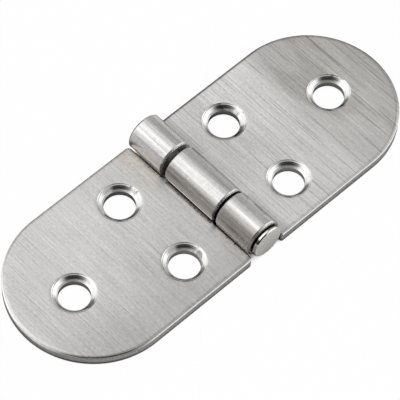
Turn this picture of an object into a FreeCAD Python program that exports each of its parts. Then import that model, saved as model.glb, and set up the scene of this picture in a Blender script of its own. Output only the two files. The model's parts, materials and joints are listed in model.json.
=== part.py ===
import FreeCAD
import Part
import math
import os

# A flat-backed flap hinge: two round-ended sheet leaves whose knuckles are rolled round a headed pin.
# It lies open on its back. X runs across both leaves, Y along the pin, Z up from the flat back.
# The middle of the pin is over the origin and its head is at the -Y side. Sizes are in millimetres.

# Leaf sheet
sheet = 2.0
leaf_reach = 40.0
leaf_width = 30.0
edge_break = 0.2
fixed_corner_radius = 0.8
swing_corner_radius = 0.3
notch_corner_radius = 0.3

# Screw holes: a pair beside the barrel and one in the round end
hole_radius = 2.75
countersink_radius = 3.65
countersink_angle = 90.0
countersink_rim_break = 0.15
pair_setback = 12.0
pair_side_margin = 7.2
end_hole_margin = 10.75

# Pin
pin_radius = 1.4
running_clearance = 0.05
head_thickness = 0.55
head_gap = 0.45
head_step = 0.4
head_round = 0.28
pin_end_chamfer = 0.3
grip_margin = 0.5

# Knuckles
outer_knuckle_length = 8.0
far_gap = 0.85
near_gap = 0.45
shoulder_clearance = 0.15
seam_gap = 0.12
roll_end_corner_radius = 0.7

# Sizes that follow: the outer knuckles grip the pin, and the sheet rolls to a barrel that is flush below
half_width = leaf_width / 2
bore_radius = pin_radius + running_clearance
barrel_radius = bore_radius + sheet
axis_height = barrel_radius
axis_above_sheet = axis_height - sheet
shoulder = math.sqrt((barrel_radius + shoulder_clearance) ** 2 - axis_above_sheet ** 2)

# Ends of each knuckle along Y, nearest the head first
near_knuckle_start = -half_width + head_thickness + head_gap
near_knuckle = (near_knuckle_start, near_knuckle_start + outer_knuckle_length)
far_knuckle = (half_width - outer_knuckle_length, half_width)
middle_knuckle = (near_knuckle[1] + near_gap, far_knuckle[0] - far_gap)

origin = FreeCAD.Vector(0, 0, 0)
across = FreeCAD.Vector(1, 0, 0)
along_pin = FreeCAD.Vector(0, 1, 0)
up = FreeCAD.Vector(0, 0, 1)
match_tolerance = 1e-4


def rounded_face(corners):
    """Flat face in XY from (x, y, radius) corners, each rounded by an arc that is tangent to its sides."""
    points = [FreeCAD.Vector(x, y, 0) for x, y, radius in corners]
    starts = []
    ends = []
    arcs = []
    for index, (x, y, radius) in enumerate(corners):
        corner = points[index]
        back = (points[index - 1] - corner).normalize()
        ahead = (points[(index + 1) % len(points)] - corner).normalize()
        half_angle = back.getAngle(ahead) / 2
        setback = radius / math.tan(half_angle)
        starts.append(corner + back * setback)
        ends.append(corner + ahead * setback)
        if radius > 0:
            towards_centre = (back + ahead).normalize()
            crown = corner + towards_centre * (radius / math.sin(half_angle) - radius)
            arcs.append(Part.Arc(starts[-1], crown, ends[-1]).toShape())
        else:
            arcs.append(None)
    edges = []
    for index, arc in enumerate(arcs):
        if arc is not None:
            edges.append(arc)
        next_start = starts[(index + 1) % len(starts)]
        if (next_start - ends[index]).Length > match_tolerance:
            edges.append(Part.LineSegment(ends[index], next_start).toShape())
    return Part.Face(Part.Wire(edges))


def flat_blank(knuckles, corner_radius):
    """Flat sheet of a leaf towards +X: a semicircular end, shoulders and a tab to the pin per knuckle."""
    corners = [(leaf_reach, -half_width, half_width), (leaf_reach, half_width, half_width)]
    if knuckles[-1][1] < half_width:
        corners.append((shoulder, half_width, corner_radius))
    for near_end, far_end in reversed(knuckles):
        if far_end < half_width:
            corners.append((shoulder, far_end, notch_corner_radius))
        corners.append((0, far_end, 0))
        corners.append((0, near_end, 0))
        corners.append((shoulder, near_end, notch_corner_radius))
    corners.append((shoulder, -half_width, corner_radius))
    return rounded_face(corners).extrude(up * sheet)


def roll(near_end, far_end):
    """One knuckle: its tab carried on round the pin until the end closes on the leaf's own top face."""
    section = Part.makePolygon([
        FreeCAD.Vector(0, near_end, 0),
        FreeCAD.Vector(0, far_end, 0),
        FreeCAD.Vector(0, far_end, sheet),
        FreeCAD.Vector(0, near_end, sheet),
        FreeCAD.Vector(0, near_end, 0),
    ])
    past_three_quarters = math.degrees(math.asin((axis_above_sheet - seam_gap) / barrel_radius))
    return Part.Face(section).revolve(up * axis_height, along_pin, 270 + past_three_quarters)


def mid_point(edge):
    return edge.valueAt((edge.FirstParameter + edge.LastParameter) / 2)


def pin_distance(point):
    return math.hypot(point.x, point.z - axis_height)


def near(value, *targets):
    return any(abs(value - target) < match_tolerance for target in targets)


def is_roll_end_corner(edge):
    """True on the two short edges across the sheet at a roll's free end."""
    middle = mid_point(edge)
    mid_sheet = (bore_radius + barrel_radius) / 2
    return near(edge.Length, sheet) and near(pin_distance(middle), mid_sheet) and middle.x > 0


def is_blanking_edge(edge):
    """True round the rims of the sheet's two broad faces, but not where a flat runs into its roll."""
    middle = mid_point(edge)
    on_flat = middle.x > 0 and near(middle.z, 0, sheet)
    on_roll = near(pin_distance(middle), bore_radius, barrel_radius)
    bend_line = near(middle.x, 0) and near(abs(edge.tangentAt(edge.FirstParameter).y), 1)
    return (on_flat or on_roll) and not bend_line


def is_countersink_rim(edge):
    return isinstance(edge.Curve, Part.Circle) and near(edge.Curve.Radius, countersink_radius)


def screw_hole(x, y):
    """Cutter for one countersunk hole, run past both faces of the sheet."""
    slope = math.tan(math.radians(countersink_angle / 2))
    cone_depth = (countersink_radius - hole_radius) / slope
    past = sheet
    profile = Part.makePolygon([
        FreeCAD.Vector(0, 0, -past),
        FreeCAD.Vector(hole_radius, 0, -past),
        FreeCAD.Vector(hole_radius, 0, sheet - cone_depth),
        FreeCAD.Vector(countersink_radius + past * slope, 0, sheet + past),
        FreeCAD.Vector(0, 0, sheet + past),
        FreeCAD.Vector(0, 0, -past),
    ])
    return Part.Face(profile).revolve(origin, up, 360).translated(FreeCAD.Vector(x, y, 0))


def leaf(knuckles, corner_radius):
    """A whole leaf towards +X: blank, rolls, broken edges and countersunk holes."""
    body = flat_blank(knuckles, corner_radius).fuse([roll(*ends) for ends in knuckles]).removeSplitter()
    body = body.makeFillet(roll_end_corner_radius, [edge for edge in body.Edges if is_roll_end_corner(edge)])
    body = body.makeChamfer(edge_break, [edge for edge in body.Edges if is_blanking_edge(edge)])
    pair_side = half_width - pair_side_margin
    places = [(pair_setback, -pair_side), (pair_setback, pair_side), (leaf_reach - end_hole_margin, 0)]
    body = body.cut([screw_hole(x, y) for x, y in places])
    return body.makeChamfer(countersink_rim_break, [edge for edge in body.Edges if is_countersink_rim(edge)])


def shaft(radius, near_end, far_end):
    return Part.makeCylinder(radius, far_end - near_end, FreeCAD.Vector(0, near_end, axis_height), along_pin)


def edges_at(shape, y):
    return [edge for edge in shape.Edges if near(mid_point(edge).y, y)]


def pin():
    """A round-rimmed head clear of the near knuckle, and a shank swelled where outer knuckles grip it."""
    head_face = -half_width
    shank = shaft(pin_radius, head_face, half_width)
    shank = shank.makeChamfer(pin_end_chamfer, edges_at(shank, half_width))
    head = shaft(barrel_radius - head_step, head_face, head_face + head_thickness)
    head = head.makeFillet(head_round, edges_at(head, head_face))
    grips = []
    for near_end, far_end in (near_knuckle, far_knuckle):
        grips.append(shaft(bore_radius, near_end + grip_margin, far_end - grip_margin))
    return shank.fuse([head] + grips).removeSplitter()


nodes = {
    "fixed_leaf": leaf([middle_knuckle], fixed_corner_radius).mirror(origin, across),
    "swing_leaf": leaf([near_knuckle, far_knuckle], swing_corner_radius),
    "hinge_pin": pin(),
}

os.makedirs("parts", exist_ok=True)
for name, shape in nodes.items():
    solid = shape.Solids[0]
    print(name, "is one valid solid:", solid.isValid() and len(shape.Solids) == 1)
    solid.exportStep("parts/" + name + ".step")
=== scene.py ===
import json
import math

import bpy
from mathutils import Matrix, Vector


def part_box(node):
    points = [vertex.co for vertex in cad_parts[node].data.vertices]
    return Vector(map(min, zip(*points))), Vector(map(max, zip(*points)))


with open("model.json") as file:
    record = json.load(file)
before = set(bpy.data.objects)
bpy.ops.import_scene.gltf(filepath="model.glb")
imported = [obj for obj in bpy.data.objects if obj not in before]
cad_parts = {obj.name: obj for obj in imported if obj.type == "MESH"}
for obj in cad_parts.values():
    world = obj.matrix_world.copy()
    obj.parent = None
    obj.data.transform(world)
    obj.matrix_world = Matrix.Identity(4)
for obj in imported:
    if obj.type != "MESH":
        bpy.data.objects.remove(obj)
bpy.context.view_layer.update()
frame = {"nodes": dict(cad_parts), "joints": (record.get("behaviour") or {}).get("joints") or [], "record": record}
nodes = frame["nodes"]
mounts = {mount["name"]: mount for mount in frame["record"]["mounts"]}
MM = 0.001


def mm(*lengths):
    """Lengths in millimetres, as metres."""
    return tuple(length * MM for length in lengths)


# Sizes taken from the frame
leaf_low, leaf_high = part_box("swing_leaf")
pin_height = frame["joints"][0]["pos_m"][2]
barrel_radius = -leaf_low.x
half_length = leaf_high.x
half_width = leaf_high.y
pair_holes = mounts["swing_leaf_pair_holes"]
pair_x = pair_holes["pos_m"][0]
pair_y = pair_holes["dims"]["spacing_y_mm"] * MM / 2
end_x = mounts["swing_leaf_end_hole"]["pos_m"][0]

# Sizes of the sheet
sheet = 2.0 * MM
bore_radius = barrel_radius - sheet
edge_break = 0.2 * MM
countersink_radius = 3.65 * MM
countersink_rim = 0.15 * MM
knuckle_starts = mm(-14.0, -5.55, 7.0)

# How a leaf's faces are told apart
countersink_reach = 4.0 * MM
face_tolerance = 0.1 * MM
edge_margin = 1.5 * edge_break
upright_limit = 0.1
end_on_limit = 0.9
level_limit = 0.95

# Relief: radii of softened edges, and skins that curve away beside an edge
edge_softness = 0.12 * MM
rim_softness = 0.16 * MM
roll_softness = 0.45 * MM
pin_softness = 0.4 * edge_softness
crisp_across = (1.4 * barrel_radius, 1.7 * barrel_radius)
relief_depth = 0.008 * MM
pin_relief = 0.5 * relief_depth
roll_off_width = 0.75 * MM
roll_off_curve = 420.0
sink_width = 0.5 * MM
sink_curve = 120.0
knuckle_round = 0.5 * MM
knuckle_curve = 900.0
knuckle_gap = 0.2 * MM
bevel_samples = 6
openness_samples = 8

# Every mark below has a tint that multiplies the colour. A pair says where the mark begins and where it
# is full, and a band of four goes on with where it starts to fade and where it has ended. Across is along
# X, along is along Y (the pin), and height is along Z. Near, far, left and right are as the photo shows them.

# Specks of dirt beside the knuckles, and painted shade there: brown beside the knuckles and black deep in the gaps
# between pieces
specks_and_shade_reach = 0.8 * MM
specks_and_shade_across = (1.6 * barrel_radius, 1.3 * barrel_radius)
specks_and_shade_height = (1.25 * sheet, 1.1 * sheet)
brown_shade_tint = (0.6, 0.51, 0.43)
brown_shade_openness = (0.97, 0.6)
black_shade_tint = (0.03, 0.025, 0.02)
black_shade_openness = (0.68, 0.36)
black_shade_height = mm(4.5, 6.5)
black_shade_at_crown = 0.6
speck_tint = (0.3, 0.27, 0.24)
speck_openness = (1.0, 0.9)
speck_waves = 2200.0
speck_level = (0.56, 0.66)
far_gap_along = mm(6.8, 6.95, 7.2, 7.4)
far_gap_spared = 0.65
seam_height = mm(2.1, 2.3, 2.7, 2.95)
seam_across = mm(-2.6, -3.0)
seam_spared_black = 0.8
seam_spared_brown = 0.6

# Brushing of the skin, in waves for each metre across and along
dash_waves = (4500.0, 1500.0)
fine_waves = (6500.0, 160.0)
broad_waves = (3200.0, 60.0)
scratch_waves = (4800.0, 60.0)
right_patch_waves = (240.0, 70.0)
cloud_waves = 45.0
mottle_waves = 1300.0
dash_share = 0.4
fine_share = 0.4
broad_share = 0.2
cloud_share = 0.25
grain_range = (0.3, 0.7)
skin_tones = (
    (0.34, (0.48, 0.471, 0.459)),
    (0.5, (0.695, 0.686, 0.672)),
    (0.66, (0.885, 0.88, 0.87)),
)

# Marks along the leaves: dark and bright scratches, patches and a step that make the right leaf darker towards its
# round end, a painted highlight across the right leaf, a painted shade along its far edge, and the left leaf
# darker towards its near side
wear_across = mm(-10.0, 20.0)
wear_least = 0.3
scratch_tint = (0.66, 0.655, 0.65)
dark_scratches = (0.41, 0.33)
light_scratches = (0.59, 0.67)
# Patches and a ragged step make the right leaf darker towards its round end, and it darkens again near the end.
right_patch_tint = (0.83, 0.82, 0.81)
right_patch_level = (0.5, 0.36)
right_patch_across = mm(21.0, 27.0)
right_step_tint = (0.84, 0.83, 0.82)
right_step_across = mm(23.0, 26.0)
ragged_by_scratches = 14.0 * MM
ragged_by_hairs = 8.0 * MM
end_tint = (0.85, 0.84, 0.83)
end_across = mm(30.0, 40.0)
# Bright scratches share this tint with a painted highlight across the right leaf.
light_scratch_and_highlight_tint = (1.17, 1.17, 1.17)
painted_highlight_across = mm(10.0, 15.0, 22.0, 25.0)
painted_highlight_along = mm(-2.0, 8.0)
# Painted shade along the right leaf's far edge.
far_edge_shade_tint = (0.3, 0.29, 0.28)
far_edge_across = mm(0.0, 5.0)
far_edge_along = mm(14.45, 14.75)
front_tint = (0.83, 0.825, 0.82)
front_along = mm(0.0, -14.0)
front_across = mm(-2.0, -5.5)

# Marks on the knuckles and at their foot: painted shades on the flanks, in the highlight and at the foot of the
# barrel, on the far rim and beside the barrel, and a warm smear
fixed_side_across = mm(-1.0, -2.4)
beside_middle_along = mm(5.6, 5.3)
roll_height = (1.1 * sheet, 1.2 * sheet)
near_roll_along = mm(-5.6, -6.2)
far_roll_along = mm(6.2, 7.0)
# Painted shades: darker flanks of the knuckles, a darker band in the near knuckle's highlight and a darker side
# beyond its highlight.
flank_shade_tint = (0.53, 0.5, 0.47)
flank_top = mm(6.9, 4.7)
flank_foot = mm(2.9, 3.7)
near_flank_rise = 0.7 * MM
far_flank_drop = 0.6 * MM
far_flank_spared = 0.85
crown_shade_tint = (0.62, 0.6, 0.585)
crown_across = mm(-0.9, -1.7, -2.2, -2.7)
lee_shade_tint = (0.6, 0.585, 0.575)
lee_across = mm(2.2, 3.0)
smear_tint = (0.93, 0.85, 0.77)
smear_across = mm(-8.5, -4.0)
smear_along = mm(2.0, 9.0)
smear_level = (0.3, 0.6)
shadow_tint = (0.5, 0.48, 0.46)
foot_shadow_height = mm(2.6, 2.75, 3.05, 3.3)
seam_shadow_across = mm(-4.2, -3.6)
lip_height = 2.6 * MM
lip_rise_at_middle = 0.3 * MM
lip_tilt = 2.0
# Painted shade on the far knuckle's far rim.
far_rim_shade_tint = (0.12, 0.115, 0.11)
far_rim_along = mm(14.68, 14.8)
far_rim_across = mm(0.5, -0.5)
# Painted shade on the right leaf beside the barrel.
beside_barrel_shade_tint = (0.74, 0.73, 0.72)
beside_barrel_across = mm(0.0, 1.0, 4.4, 6.4)
beside_barrel_spared = 0.5

# Countersinks: walls are told by (direction that they face, cosines where the mark begins and is full). The darker
# walls are painted shade in place of dark reflections
ring_waves = 7000.0
sink_tones = ((0.3, (0.68, 0.675, 0.67)), (0.7, (0.9, 0.9, 0.895)))
sink_roughness = (0.18, 0.28)
left_wall_faces = (0.553, -0.834, 0.0)
# Painted shade in patches on walls that face one way, in place of dark reflections.
patchy_shade_tint = (0.4, 0.385, 0.37)
patchy_shade_waves = 380.0
patchy_shade_level = (0.45, 0.36)
patchy_shade_walls = (left_wall_faces, 0.5, 0.2)
fan_shade_tint = (0.35, 0.335, 0.32)
fan_level = (0.7, 0.4)
fan_walls = ((-0.725, -0.689, 0.0), 0.55, 0.66)
near_right_shade_tint = (0.4, 0.39, 0.38)
near_right_walls = ((-0.148, 0.989, 0.0), 0.61, 0.69)
cone_tilt = -0.18
rim_tilt = 0.4
ledge_reach = 3.0 * MM
ledge_tilt = 0.5
flat_wall_across = mm(-17.0, -16.0, -8.0, -7.0)
flat_walls = (left_wall_faces, 0.35, 0.55)
flat_wall_reach = 3.2 * MM
flat_wall_tilt = -0.34

# Cut faces of the sheet, with painted shades and painted highlights by which way a face looks, and painted light
# in the far gap and high on the nearest end face
cut_waves = (4000.0, 4000.0, 500.0)
cut_grain_share = 0.6
cut_rim_share = 0.4
cut_stops = (0.15, 0.75)
cut_roughness = (0.32, 0.48)
rim_polish = 0.2
rim_height = (sheet - 1.6 * edge_break, sheet - 0.9 * edge_break)
# Painted shades: a dark rim on faces looking far and right, a dark line at the top of faces looking near, a dark
# foot round the outline, and a dark top and foot on the near part of the round end.
dark_rim_shade_tint = (0.15, 0.145, 0.14)
dark_rim_faces = ((0.7, 0.7, 0.0), 0.3, 0.6)
top_line_shade_tint = (0.5, 0.49, 0.48)
top_line_height = (sheet - 0.6 * edge_break, sheet - 0.2 * edge_break)
top_line_faces = ((0.6, -0.8, 0.0), 0.0, 0.3)
left_faces = (-1.0, 0.2, 0.0)
# Painted highlight on the rim of faces that look left.
left_rim_highlight_tint = (1.35, 1.345, 1.34)
left_rim_faces = (left_faces, 0.4, 0.6)
outer_reach = (half_width - 1.5 * MM, half_width - 1.0 * MM)
foot_shade_tint = (0.5, 0.49, 0.48)
foot_height = (0.45 * sheet, 0.15 * sheet)
near_face_along = mm(-13.7, -13.9)
near_face_height = mm(5.5, 6.3)
near_end_faces = ((-0.64, -0.77, 0.0), 0.84, 0.94)
near_end_top_shade_tint = (0.62, 0.61, 0.6)
near_end_top = (0.72 * sheet, 0.84 * sheet)
near_end_foot_shade_tint = (0.45, 0.44, 0.43)
near_end_foot = (0.42 * sheet, 0.2 * sheet)
# Painted highlight on the leftmost faces.
leftmost_highlight_tint = (1.6, 1.59, 1.58)
leftmost_faces = (left_faces, 0.8, 0.95)
leftmost_height = (0.55 * sheet, 0.85 * sheet)
tipped_above = 0.6 * sheet
tipped_curve = 1000.0

# Pin, and shades on the round of its head: (tint, degrees from straight up, cosine where the shade begins
# and where it is full, and a pair along the pin or None)
pin_ring_waves = 5000.0
pin_cloud_waves = 900.0
pin_tones = ((0.3, (0.77, 0.745, 0.715)), (0.7, (0.91, 0.88, 0.85)))
pin_roughness = (0.06, 0.14)
head_round_reach = mm(2.84, 2.92)
head_shades = (
    ((0.05, 0.045, 0.045), -30.0, 0.9, 0.97, mm(-14.8, -14.88)),
    ((0.1, 0.095, 0.09), -47.0, 0.985, 0.995, None),
    ((0.4, 0.39, 0.38), -90.0, 0.8, 0.87, None),
    ((0.45, 0.44, 0.43), 45.0, 0.7, 0.8, mm(-14.75, -14.6)),
)

# Camera that the photograph was taken from
camera_azimuth = math.radians(-46.43)
camera_elevation = math.radians(57.51)
camera_roll = math.radians(3.29)
camera_distance = 0.4731
camera_target = Vector((-0.00188, -0.00085, sheet))
camera_lens = 256.84
camera_sensor = 36.0
camera_clip = (0.01, 10.0)

# Studio: (azimuth from +X, elevation, core and edge of the glow in degrees, strength)
dome_light = 0.47
glows = (
    (80.0, 60.0, 12.0, 34.0, 0.46),
    (120.0, 14.0, 20.0, 32.0, 0.75),
    (155.0, 38.0, 12.0, 22.0, 0.55),
    (-43.0, 12.0, 20.0, 42.0, 0.9),
    (-5.0, 8.0, 8.0, 25.0, 0.6),
    (-15.0, 40.0, 8.0, 18.0, 0.7),
)
dim_stretch = (-126.0, 30.0, 26.0, 42.0, 0.85)
key_direction = (-0.34, 0.37, 0.86)
key_distance = 0.6
key_size = 0.5
key_power = 0.36

# Floor: white to the camera but for the hinge's shadow, and white in reflections away from the hinge. Its matt
# colour carries painted shade near the hinge and towards the far side
floor_reach = 6.0
floor_drop = 0.05 * MM
floor_tones = ((0.0, (0.15, 0.15, 0.15)), (1.0, (0.92, 0.92, 0.92)))
white_share = 0.985
mirrored_distance = mm(5.0, 60.0)
shadow_reach = 2.0 * sheet
shadow_openness = (0.1, 0.4)
contact_reach = 2.0 * edge_break
contact_openness = (0.2, 0.5)
lit_openness = (0.2, 0.6)
beyond_far_edge = (half_width + 1.0 * MM, half_width + 4.0 * MM)
white = (1.0, 1.0, 1.0, 1.0)


def node(tree, kind, inputs=None, **settings):
    """A new node with its settings, and each input given a value or a link."""
    made = tree.nodes.new(kind)
    for name, value in settings.items():
        setattr(made, name, value)
    for key, value in (inputs or {}).items():
        if isinstance(value, bpy.types.NodeSocket):
            tree.links.new(value, made.inputs[key])
        else:
            made.inputs[key].default_value = value
    return made


def calc(tree, operation, *values):
    return node(tree, "ShaderNodeMath", dict(enumerate(values)), operation=operation).outputs[0]


def vector(tree, operation, *values):
    return node(tree, "ShaderNodeVectorMath", dict(enumerate(values)), operation=operation).outputs[0]


def measure(tree, operation, *values):
    return node(tree, "ShaderNodeVectorMath", dict(enumerate(values)), operation=operation).outputs["Value"]


def axes_of(tree, place):
    return node(tree, "ShaderNodeSeparateXYZ", {0: place}).outputs


def product(tree, first, *others):
    for other in others:
        first = calc(tree, "MULTIPLY", first, other)
    return first


def weighed(tree, *shares):
    """Sum of (value, weight) shares."""
    total = 0.0
    for value, weight in shares:
        total = calc(tree, "MULTIPLY_ADD", value, weight, total)
    return total


def all_but(tree, share, part=1.0):
    """1 less a part of share."""
    return calc(tree, "MULTIPLY_ADD", share, -part, 1.0)


def over(tree, value, start):
    """How far a value is over start, or 0."""
    return calc(tree, "MAXIMUM", calc(tree, "SUBTRACT", value, start), 0.0)


def remap(tree, value, low, high, to_low, to_high):
    inputs = {0: value, 1: low, 2: high, 3: to_low, 4: to_high}
    return node(tree, "ShaderNodeMapRange", inputs).outputs[0]


def spread(tree, value, low, high):
    """0 at low, 1 at high, and smooth between."""
    inputs = {0: value, 1: low, 2: high}
    return node(tree, "ShaderNodeMapRange", inputs, interpolation_type="SMOOTHSTEP").outputs[0]


def band(tree, value, start, full, fading, end):
    """1 from full to fading, and smoothly 0 at start and at end."""
    return product(tree, spread(tree, value, start, full), spread(tree, value, end, fading))


def facing(tree, direction, low, high):
    """0 on faces whose normal has the cosine low with a direction, 1 at high, and smooth between."""
    normal = node(tree, "ShaderNodeNewGeometry").outputs["Normal"]
    return spread(tree, measure(tree, "DOT_PRODUCT", normal, direction), low, high)


def open_share(tree, distance):
    """How open a point is: less than 1 where other faces stand within a distance."""
    made = node(tree, "ShaderNodeAmbientOcclusion", {"Distance": distance}, samples=openness_samples)
    return made.outputs["AO"]


def ramp(tree, factor, *stops):
    """Colour through (position, colour) stops."""
    made = node(tree, "ShaderNodeValToRGB", {"Fac": factor})
    elements = made.color_ramp.elements
    while len(elements) < len(stops):
        elements.new(1.0)
    for element, (position, colour) in zip(elements, stops):
        element.position = position
        element.color = (*colour, 1.0)
    return made.outputs["Color"]


def marked(tree, colour, *marks):
    """Colour with (tint, share) marks laid over it in turn."""
    for tint, share in marks:
        inputs = {0: share, 6: colour, 7: (*tint, 1.0)}
        made = node(tree, "ShaderNodeMix", inputs, data_type="RGBA", blend_type="MULTIPLY")
        colour = made.outputs[2]
    return colour


def noise(tree, place, scale, detail):
    inputs = {"Vector": place, "Scale": scale, "Detail": detail}
    return node(tree, "ShaderNodeTexNoise", inputs).outputs["Fac"]


def rings(tree, radius, density):
    """Fine rings, in waves for each metre of radius."""
    inputs = {"W": calc(tree, "MULTIPLY", radius, density), "Scale": 1.0, "Detail": 2.0}
    return node(tree, "ShaderNodeTexNoise", inputs, noise_dimensions="1D").outputs["Fac"]


def streaks(tree, place, across, along):
    """Noise drawn out along the pin, in waves for each metre across and along."""
    return noise(tree, vector(tree, "MULTIPLY", place, (across, along, across)), 1.0, 2.0)


def new_material(name):
    material = bpy.data.materials.new(name)
    material.use_nodes = True
    tree = material.node_tree
    tree.nodes.clear()
    return material, tree, node(tree, "ShaderNodeTexCoord").outputs["Object"]


def steel(tree, colour, roughness, height, softness, **constants):
    """Metal shader with softened edges, and relief from a height in metres."""
    soft = node(tree, "ShaderNodeBevel", {"Radius": softness}, samples=bevel_samples)
    bump = node(tree, "ShaderNodeBump", {
        "Strength": 1.0,
        "Distance": 1.0,
        "Height": height,
        "Normal": soft.outputs["Normal"],
    })
    shader = node(tree, "ShaderNodeBsdfPrincipled", {
        "Base Color": colour,
        "Roughness": roughness,
        "Normal": bump.outputs["Normal"],
        **constants,
    })
    node(tree, "ShaderNodeOutputMaterial", {"Surface": shader.outputs["BSDF"]})


def quarter_plan(tree, place):
    """Place on the plan of the hinge, folded into one quarter of it."""
    return vector(tree, "MULTIPLY", vector(tree, "ABSOLUTE", place), (1.0, 1.0, 0.0))


def hole_distance(tree, place):
    """Distance from the axis of the nearest screw hole."""
    quarter = quarter_plan(tree, place)
    to_pair = measure(tree, "DISTANCE", quarter, (pair_x, pair_y, 0.0))
    to_end = measure(tree, "DISTANCE", quarter, (end_x, 0.0, 0.0))
    return calc(tree, "MINIMUM", to_pair, to_end)


def outline_reach(tree, place):
    """Distance from the line between the centres of the round ends: half the width at the outline."""
    from_middle = vector(tree, "SUBTRACT", quarter_plan(tree, place), (half_length - half_width, 0.0, 0.0))
    return measure(tree, "LENGTH", vector(tree, "MAXIMUM", from_middle, (0.0, 0.0, 0.0)))


def fall(tree, past, curve):
    """Depth of a skin that curves away once past is over 0."""
    past = calc(tree, "MAXIMUM", past, 0.0)
    return product(tree, past, past, curve)


def roll_off(tree, place):
    """How far a leaf's skin falls away towards its outline and its countersinks."""
    to_outline = calc(tree, "SUBTRACT", outline_reach(tree, place), half_width - roll_off_width)
    sink_start = countersink_radius + countersink_rim + sink_width
    to_sink = calc(tree, "SUBTRACT", sink_start, hole_distance(tree, place))
    return calc(tree, "ADD", fall(tree, to_outline, roll_off_curve), fall(tree, to_sink, sink_curve))


def knuckle_fall(tree, along):
    """How far a roll's skin falls away towards the end of its knuckle that is nearest the pin's head."""
    total = 0.0
    for start in knuckle_starts:
        depth = fall(tree, calc(tree, "SUBTRACT", start + knuckle_round, along), knuckle_curve)
        on_knuckle = calc(tree, "GREATER_THAN", along, start - knuckle_gap)
        total = calc(tree, "MULTIPLY_ADD", depth, on_knuckle, total)
    return total


def rounding(tree, place):
    """Radius of a leaf's edges: well rounded round the outside, and crisper beside the knuckles."""
    off_middle = calc(tree, "ABSOLUTE", axes_of(tree, place)["X"])
    return remap(tree, off_middle, *crisp_across, edge_softness, rim_softness)


def specked_and_shaded(tree, colour, place):
    """Colour specked with dirt beside the knuckles, with painted brown shade there and painted black shade deep in
    the gaps between pieces.
    """
    axes = axes_of(tree, place)
    openness = open_share(tree, specks_and_shade_reach)
    beside = spread(tree, calc(tree, "ABSOLUTE", axes["X"]), *specks_and_shade_across)
    low = product(tree, beside, spread(tree, axes["Z"], *specks_and_shade_height))
    specks = product(tree, low, spread(tree, openness, *speck_openness),
                     spread(tree, noise(tree, place, speck_waves, 3.0), *speck_level))
    in_far_gap = band(tree, axes["Y"], *far_gap_along)
    above_seam = product(tree, band(tree, axes["Z"], *seam_height), spread(tree, axes["X"], *seam_across))
    # Painted shade: brown where faces beside the knuckles are hemmed in, black deep in the gaps.
    brown_shaded = product(tree, low, spread(tree, openness, *brown_shade_openness),
                      all_but(tree, above_seam, seam_spared_brown))
    black_shaded = product(tree, beside, spread(tree, openness, *black_shade_openness),
                        remap(tree, axes["Z"], *black_shade_height, 1.0, black_shade_at_crown),
                        all_but(tree, in_far_gap, far_gap_spared),
                        all_but(tree, above_seam, seam_spared_black))
    return marked(tree, colour, (speck_tint, specks), (brown_shade_tint, brown_shaded), (black_shade_tint, black_shaded))


def leaf_marks(tree, place, axes, broad):
    """Marks along both leaves, painted highlight and shade among them, as (tint, share)."""
    scratch = streaks(tree, place, *scratch_waves)
    right_patches = streaks(tree, place, *right_patch_waves)
    wear = remap(tree, axes["X"], *wear_across, wear_least, 1.0)
    ragged = weighed(tree, (axes["X"], 1.0),
                     (calc(tree, "SUBTRACT", scratch, 0.5), ragged_by_scratches),
                     (calc(tree, "SUBTRACT", broad, 0.5), ragged_by_hairs))
    right_patched = product(tree, spread(tree, right_patches, *right_patch_level), spread(tree, axes["X"], *right_patch_across))
    # Painted highlight across the right leaf.
    painted_highlight = product(tree, band(tree, axes["X"], *painted_highlight_across), spread(tree, axes["Y"], *painted_highlight_along))
    # Painted shade along the right leaf's far edge.
    far_edge = product(tree, spread(tree, axes["X"], *far_edge_across),
                       spread(tree, axes["Y"], *far_edge_along))
    front = product(tree, spread(tree, axes["Y"], *front_along), spread(tree, axes["X"], *front_across))
    return (
        (scratch_tint, product(tree, wear, spread(tree, scratch, *dark_scratches))),
        (light_scratch_and_highlight_tint, product(tree, wear, spread(tree, scratch, *light_scratches))),
        (right_patch_tint, right_patched),
        (right_step_tint, spread(tree, ragged, *right_step_across)),
        (end_tint, spread(tree, axes["X"], *end_across)),
        (light_scratch_and_highlight_tint, painted_highlight),
        (far_edge_shade_tint, far_edge),
        (front_tint, front),
    )


def knuckle_marks(tree, axes, fixed_side, mottle):
    """Painted shades on the knuckles' flanks and in their highlight, and a warm smear at their foot, as (tint,
    share).
    """
    raised = spread(tree, axes["Z"], *roll_height)
    near_roll = spread(tree, axes["Y"], *near_roll_along)
    far_roll = spread(tree, axes["Y"], *far_roll_along)
    on_near_roll = product(tree, near_roll, raised)
    flank_height = weighed(tree, (axes["Z"], 1.0), (near_roll, -near_flank_rise), (far_roll, far_flank_drop))
    flank = product(tree, fixed_side, spread(tree, flank_height, *flank_top),
                    spread(tree, axes["Z"], *flank_foot), all_but(tree, far_roll, far_flank_spared))
    smear = product(tree, fixed_side, all_but(tree, raised), spread(tree, axes["X"], *smear_across),
                    spread(tree, axes["Y"], *smear_along), spread(tree, mottle, *smear_level))
    return (
        # Painted shades on the flanks and in the highlight; the smear is a warm stain.
        (flank_shade_tint, flank),
        (crown_shade_tint, product(tree, band(tree, axes["X"], *crown_across), on_near_roll)),
        (lee_shade_tint, product(tree, spread(tree, axes["X"], *lee_across), on_near_roll)),
        (smear_tint, smear),
    )


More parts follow.
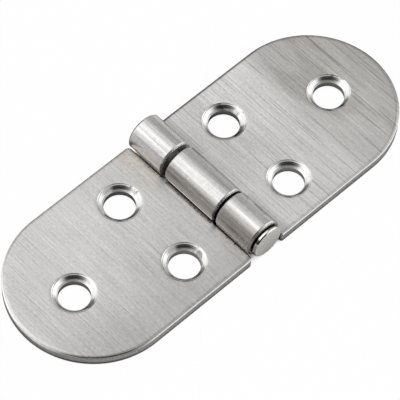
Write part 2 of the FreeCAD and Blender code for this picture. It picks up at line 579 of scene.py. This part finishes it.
def brushed_steel(name, smooth, rough, stretch, mottling, rolled):
    """Skin of the sheet, flat or rolled: hairlines along the pin over a cloudy tone, with its marks and painted
    light and shade.
    """
    material, tree, place = new_material(name)
    axes = axes_of(tree, place)
    dashes = streaks(tree, place, *dash_waves)
    fine = streaks(tree, place, *fine_waves)
    broad = streaks(tree, place, *broad_waves)
    cloud = noise(tree, place, cloud_waves, 2.0)
    mottle = noise(tree, place, mottle_waves, 3.0)
    hairs = weighed(tree, (dashes, dash_share), (fine, fine_share), (broad, broad_share))
    tone = weighed(tree, (hairs, 1.0 - cloud_share - mottling), (cloud, cloud_share), (mottle, mottling))
    fixed_side = spread(tree, axes["X"], *fixed_side_across)
    beside_middle = spread(tree, calc(tree, "ABSOLUTE", axes["Y"]), *beside_middle_along)
    colour = marked(tree, ramp(tree, tone, *skin_tones),
                    *leaf_marks(tree, place, axes, broad), *knuckle_marks(tree, axes, fixed_side, mottle))
    colour = specked_and_shaded(tree, colour, place)
    height = product(tree, hairs, relief_depth)
    if rolled:
        lip_top = calc(tree, "MULTIPLY_ADD", beside_middle, lip_rise_at_middle, lip_height)
        lip = product(tree, over(tree, lip_top, axes["Z"]), fixed_side)
        height = calc(tree, "SUBTRACT", height, knuckle_fall(tree, axes["Y"]))
        height = calc(tree, "MULTIPLY_ADD", lip, lip_tilt, height)
        foot_shadow = product(tree, band(tree, axes["Z"], *foot_shadow_height), fixed_side,
                              all_but(tree, beside_middle))
        # Painted shade on the far rim of the far knuckle.
        far_rim = product(tree, spread(tree, axes["Y"], *far_rim_along),
                          spread(tree, axes["X"], *far_rim_across))
        colour = marked(tree, colour, (shadow_tint, foot_shadow), (far_rim_shade_tint, far_rim))
        softness = roll_softness
    else:
        height = calc(tree, "SUBTRACT", height, roll_off(tree, place))
        seam_shadow = product(tree, spread(tree, axes["X"], *seam_shadow_across), fixed_side, beside_middle)
        # Painted shade on the right leaf beside the barrel.
        beside_barrel = product(tree, band(tree, axes["X"], *beside_barrel_across),
                                all_but(tree, beside_middle, beside_barrel_spared))
        colour = marked(tree, colour, (shadow_tint, seam_shadow), (beside_barrel_shade_tint, beside_barrel))
        softness = rounding(tree, place)
    normal = node(tree, "ShaderNodeNewGeometry").outputs["Normal"]
    steel(tree, colour, remap(tree, hairs, *grain_range, smooth, rough), height, softness, **{
        "Metallic": 1.0,
        "Anisotropic": stretch,
        "Tangent": vector(tree, "CROSS_PRODUCT", normal, (0.0, 1.0, 0.0)),
    })
    return material


def turned_steel():
    """Countersinks: smoother metal with the rings that the tool left, and painted shade on some walls in place of
    dark reflections.
    """
    material, tree, place = new_material("turned_steel")
    reach = hole_distance(tree, place)
    marks = rings(tree, reach, ring_waves)
    patch = noise(tree, place, patchy_shade_waves, 4.0)
    # Painted shade in patches, over the far fan and on the near right walls.
    colour = marked(
        tree,
        ramp(tree, marks, *sink_tones),
        (patchy_shade_tint, product(tree, spread(tree, patch, *patchy_shade_level), facing(tree, *patchy_shade_walls))),
        (fan_shade_tint, product(tree, facing(tree, *fan_walls), spread(tree, marks, *fan_level))),
        (near_right_shade_tint, facing(tree, *near_right_walls)),
    )
    past_cone = over(tree, reach, countersink_radius)
    ledge = over(tree, ledge_reach, reach)
    flat_wall = product(tree, calc(tree, "SUBTRACT", reach, flat_wall_reach), facing(tree, *flat_walls),
                        band(tree, axes_of(tree, place)["X"], *flat_wall_across))
    height = weighed(tree, (marks, relief_depth), (reach, cone_tilt), (past_cone, rim_tilt),
                     (ledge, ledge_tilt), (flat_wall, flat_wall_tilt))
    roughness = remap(tree, marks, *grain_range, *sink_roughness)
    steel(tree, colour, roughness, height, edge_softness, Metallic=1.0)
    return material


def cut_steel(name, dark, light, metal, painted_light_lift):
    """Cut faces of the sheet, with fine upright marks and a burnished rim, painted shades and highlights by which
    way a face looks, and painted light in the far gap.
    """
    material, tree, place = new_material(name)
    axes = axes_of(tree, place)
    height = axes["Z"]
    grain = noise(tree, vector(tree, "MULTIPLY", place, cut_waves), 1.0, 3.0)
    rim = spread(tree, height, *rim_height)
    tone = weighed(tree, (grain, cut_grain_share), (rim, cut_rim_share))
    outer = spread(tree, outline_reach(tree, place), *outer_reach)
    near_end = product(tree, facing(tree, *near_end_faces), outer)
    near_face = product(tree, spread(tree, axes["Y"], *near_face_along),
                        spread(tree, height, *near_face_height))
    # Painted light: the cut faces in the far gap and high on the nearest end face are lightened by the lift.
    light_lifted = calc(tree, "ADD", band(tree, axes["Y"], *far_gap_along), near_face)
    top_line = spread(tree, height, *top_line_height)
    # Painted shades on rims, top lines and feet, and painted light where lifted.
    colour = marked(
        tree,
        ramp(tree, tone, *zip(cut_stops, (dark, light))),
        (dark_rim_shade_tint, product(tree, rim, facing(tree, *dark_rim_faces))),
        (top_line_shade_tint, product(tree, top_line, facing(tree, *top_line_faces))),
        (left_rim_highlight_tint, product(tree, rim, facing(tree, *left_rim_faces))),
        (foot_shade_tint, product(tree, outer, spread(tree, height, *foot_height))),
        ((painted_light_lift, painted_light_lift, painted_light_lift), light_lifted),
        (near_end_top_shade_tint, product(tree, near_end, spread(tree, height, *near_end_top))),
        (near_end_foot_shade_tint, product(tree, near_end, spread(tree, height, *near_end_foot))),
    )
    # Painted highlight on the leftmost faces.
    leftmost = facing(tree, *leftmost_faces)
    brightened = product(tree, leftmost, spread(tree, height, *leftmost_height))
    colour = marked(tree, specked_and_shaded(tree, colour, place), (leftmost_highlight_tint, brightened))
    tipped = fall(tree, calc(tree, "SUBTRACT", height, tipped_above), tipped_curve)
    relief = weighed(tree, (grain, relief_depth), (product(tree, tipped, leftmost), -1.0))
    roughness = remap(tree, grain, *grain_range, *cut_roughness)
    roughness = calc(tree, "SUBTRACT", roughness, product(tree, rim, rim_polish))
    steel(tree, colour, roughness, relief, rounding(tree, place), Metallic=metal)
    return material


def pin_steel():
    """Pin: turned metal with rings round its axis, and shades on the round of its head."""
    material, tree, place = new_material("pin_steel")
    centred = vector(tree, "SUBTRACT", place, (0.0, 0.0, pin_height))
    along = axes_of(tree, place)["Y"]
    reach = measure(tree, "LENGTH", vector(tree, "MULTIPLY", centred, (1.0, 0.0, 1.0)))
    cloud = noise(tree, place, pin_cloud_waves, 3.0)
    tone = weighed(tree, (rings(tree, reach, pin_ring_waves), 0.5), (cloud, 0.5))
    colour = specked_and_shaded(tree, ramp(tree, tone, *pin_tones), place)
    on_round = spread(tree, reach, *head_round_reach)
    for tint, degrees, low, high, along_range in head_shades:
        angle = math.radians(degrees)
        towards = measure(tree, "DOT_PRODUCT", centred, (math.sin(angle), 0.0, math.cos(angle)))
        share = product(tree, spread(tree, calc(tree, "DIVIDE", towards, reach), low, high), on_round)
        if along_range:
            share = product(tree, share, spread(tree, along, *along_range))
        colour = marked(tree, colour, (tint, share))
    roughness = remap(tree, tone, *grain_range, *pin_roughness)
    steel(tree, colour, roughness, product(tree, tone, pin_relief), pin_softness, Metallic=1.0)
    return material


def in_hole(centre):
    x, y = abs(centre.x), abs(centre.y)
    to_pair = math.hypot(x - pair_x, y - pair_y)
    to_end = math.hypot(x - end_x, y)
    return min(to_pair, to_end) < countersink_reach


def finish_of(face):
    """Name of a leaf face's finish."""
    centre, normal = face.center, face.normal
    pin_distance = math.hypot(centre.x, centre.z - pin_height)
    upright = abs(normal.z) < upright_limit
    level = abs(normal.z) > level_limit
    if pin_distance < bore_radius + face_tolerance:
        return "cut_face"
    if in_hole(centre) and not level:
        return "sheet_edge" if upright else "turned_steel"
    if abs(normal.y) > end_on_limit and pin_distance < barrel_radius and abs(centre.x) < barrel_radius:
        return "cut_face"
    if abs(pin_distance - barrel_radius) < face_tolerance and abs(centre.x) < barrel_radius:
        return "rolled_steel"
    if centre.z < sheet and abs(centre.x) > barrel_radius - edge_margin and not level:
        return "sheet_edge"
    return "brushed_steel"


def dress_leaf(leaf, finishes):
    mesh = leaf.data
    mesh.materials.clear()
    for material in finishes:
        mesh.materials.append(material)
    places = {material.name: index for index, material in enumerate(finishes)}
    for face in mesh.polygons:
        face.material_index = places[finish_of(face)]


def dress_pin(pin):
    pin.data.materials.clear()
    pin.data.materials.append(pin_steel())


def make_camera():
    data = bpy.data.cameras.new("camera")
    data.lens = camera_lens
    data.sensor_width = camera_sensor
    data.clip_start, data.clip_end = camera_clip
    camera = bpy.data.objects.new("camera", data)
    bpy.context.scene.collection.objects.link(camera)
    back = Vector((
        math.sin(camera_azimuth) * math.cos(camera_elevation),
        -math.cos(camera_azimuth) * math.cos(camera_elevation),
        math.sin(camera_elevation),
    ))
    level = Vector((math.cos(camera_azimuth), math.sin(camera_azimuth), 0.0))
    right = Matrix.Rotation(camera_roll, 3, back) @ level
    turn = Matrix((right, back.cross(right), back)).transposed()
    camera.matrix_world = Matrix.Translation(camera_target + back * camera_distance) @ turn.to_4x4()
    bpy.context.scene.camera = camera


def make_key():
    data = bpy.data.lights.new("key", "AREA")
    data.shape = "DISK"
    data.size = key_size
    data.energy = key_power
    lamp = bpy.data.objects.new("key", data)
    lamp.location = Vector(key_direction).normalized() * key_distance
    lamp.rotation_euler = Vector(key_direction).to_track_quat("Z", "Y").to_euler()
    bpy.context.scene.collection.objects.link(lamp)


def make_world():
    """A pale dome with soft glows in it, and a dim stretch behind the camera."""
    world = bpy.data.worlds.new("studio")
    world.use_nodes = True
    tree = world.node_tree
    tree.nodes.clear()
    direction = node(tree, "ShaderNodeTexCoord").outputs["Generated"]

    def glow(azimuth, elevation, core, edge, strength):
        """Its strength within core degrees of a direction, falling to 0 at edge degrees."""
        azimuth, elevation, core, edge = (math.radians(angle) for angle in (azimuth, elevation, core, edge))
        level = math.cos(elevation)
        towards = (math.cos(azimuth) * level, math.sin(azimuth) * level, math.sin(elevation))
        cosine = measure(tree, "DOT_PRODUCT", direction, towards)
        return product(tree, spread(tree, cosine, math.cos(edge), math.cos(core)), strength)

    light = dome_light
    for settings in glows:
        light = calc(tree, "ADD", light, glow(*settings))
    light = product(tree, light, all_but(tree, glow(*dim_stretch)))
    background = node(tree, "ShaderNodeBackground", {"Color": white, "Strength": light})
    node(tree, "ShaderNodeOutputWorld", {"Surface": background.outputs[0]})
    bpy.context.scene.world = world


def make_floor():
    """Pale floor, white to the camera and in far reflections, with the hinge's shadow on it and painted shade in
    its matt colour near the hinge.
    """
    mesh = bpy.data.meshes.new("floor")
    signs = ((-1, -1), (1, -1), (1, 1), (-1, 1))
    mesh.from_pydata([(x * floor_reach, y * floor_reach, 0.0) for x, y in signs], [], [(0, 1, 2, 3)])
    floor = bpy.data.objects.new("floor", mesh)
    floor.location.z = -floor_drop
    bpy.context.scene.collection.objects.link(floor)
    material, tree, place = new_material("floor")
    path = node(tree, "ShaderNodeLightPath").outputs
    outside = vector(tree, "SUBTRACT", vector(tree, "ABSOLUTE", place), (half_length, half_width, 0.0))
    away = measure(tree, "LENGTH", vector(tree, "MAXIMUM", outside, (0.0, 0.0, 0.0)))
    mirrored = calc(tree, "MAXIMUM", path["Is Glossy Ray"], path["Is Transmission Ray"])
    mirrored = product(tree, mirrored, spread(tree, away, *mirrored_distance))
    openness = open_share(tree, shadow_reach)
    watched = product(tree, path["Is Camera Ray"], spread(tree, openness, *shadow_openness),
                      spread(tree, open_share(tree, contact_reach), *contact_openness))
    share = product(tree, calc(tree, "MAXIMUM", watched, mirrored), white_share)
    # Painted shade: the matt colour darkens where the hinge stands close and from near to far under it, and is
    # pale again beyond the far edge.
    along = axes_of(tree, place)["Y"]
    under_hinge = remap(tree, along, -half_width, half_width, 1.0, 0.0)
    lit = calc(tree, "MAXIMUM", under_hinge, spread(tree, along, *beyond_far_edge))
    lit = product(tree, spread(tree, openness, *lit_openness), lit)
    matt = node(tree, "ShaderNodeBsdfDiffuse", {"Color": ramp(tree, lit, *floor_tones)})
    glowing = node(tree, "ShaderNodeEmission", {"Color": white, "Strength": 1.0})
    mixed = node(tree, "ShaderNodeMixShader", {0: share, 1: matt.outputs[0], 2: glowing.outputs[0]})
    node(tree, "ShaderNodeOutputMaterial", {"Surface": mixed.outputs[0]})
    mesh.materials.append(material)


leaf_finishes = (
    brushed_steel("brushed_steel", smooth=0.28, rough=0.44, stretch=0.6, mottling=0.0, rolled=False),
    brushed_steel("rolled_steel", smooth=0.2, rough=0.3, stretch=0.3, mottling=0.12, rolled=True),
    turned_steel(),
    cut_steel("sheet_edge", dark=(0.42, 0.415, 0.408), light=(0.74, 0.735, 0.73), metal=1.0, painted_light_lift=1.0),
    cut_steel("cut_face", dark=(0.16, 0.15, 0.14), light=(0.5, 0.475, 0.45), metal=0.6, painted_light_lift=2.4),
)
dress_leaf(nodes["fixed_leaf"], leaf_finishes)
dress_leaf(nodes["swing_leaf"], leaf_finishes)
dress_pin(nodes["hinge_pin"])

make_camera()
make_world()
make_key()
make_floor()
bpy.context.scene.view_settings.view_transform = "Standard"
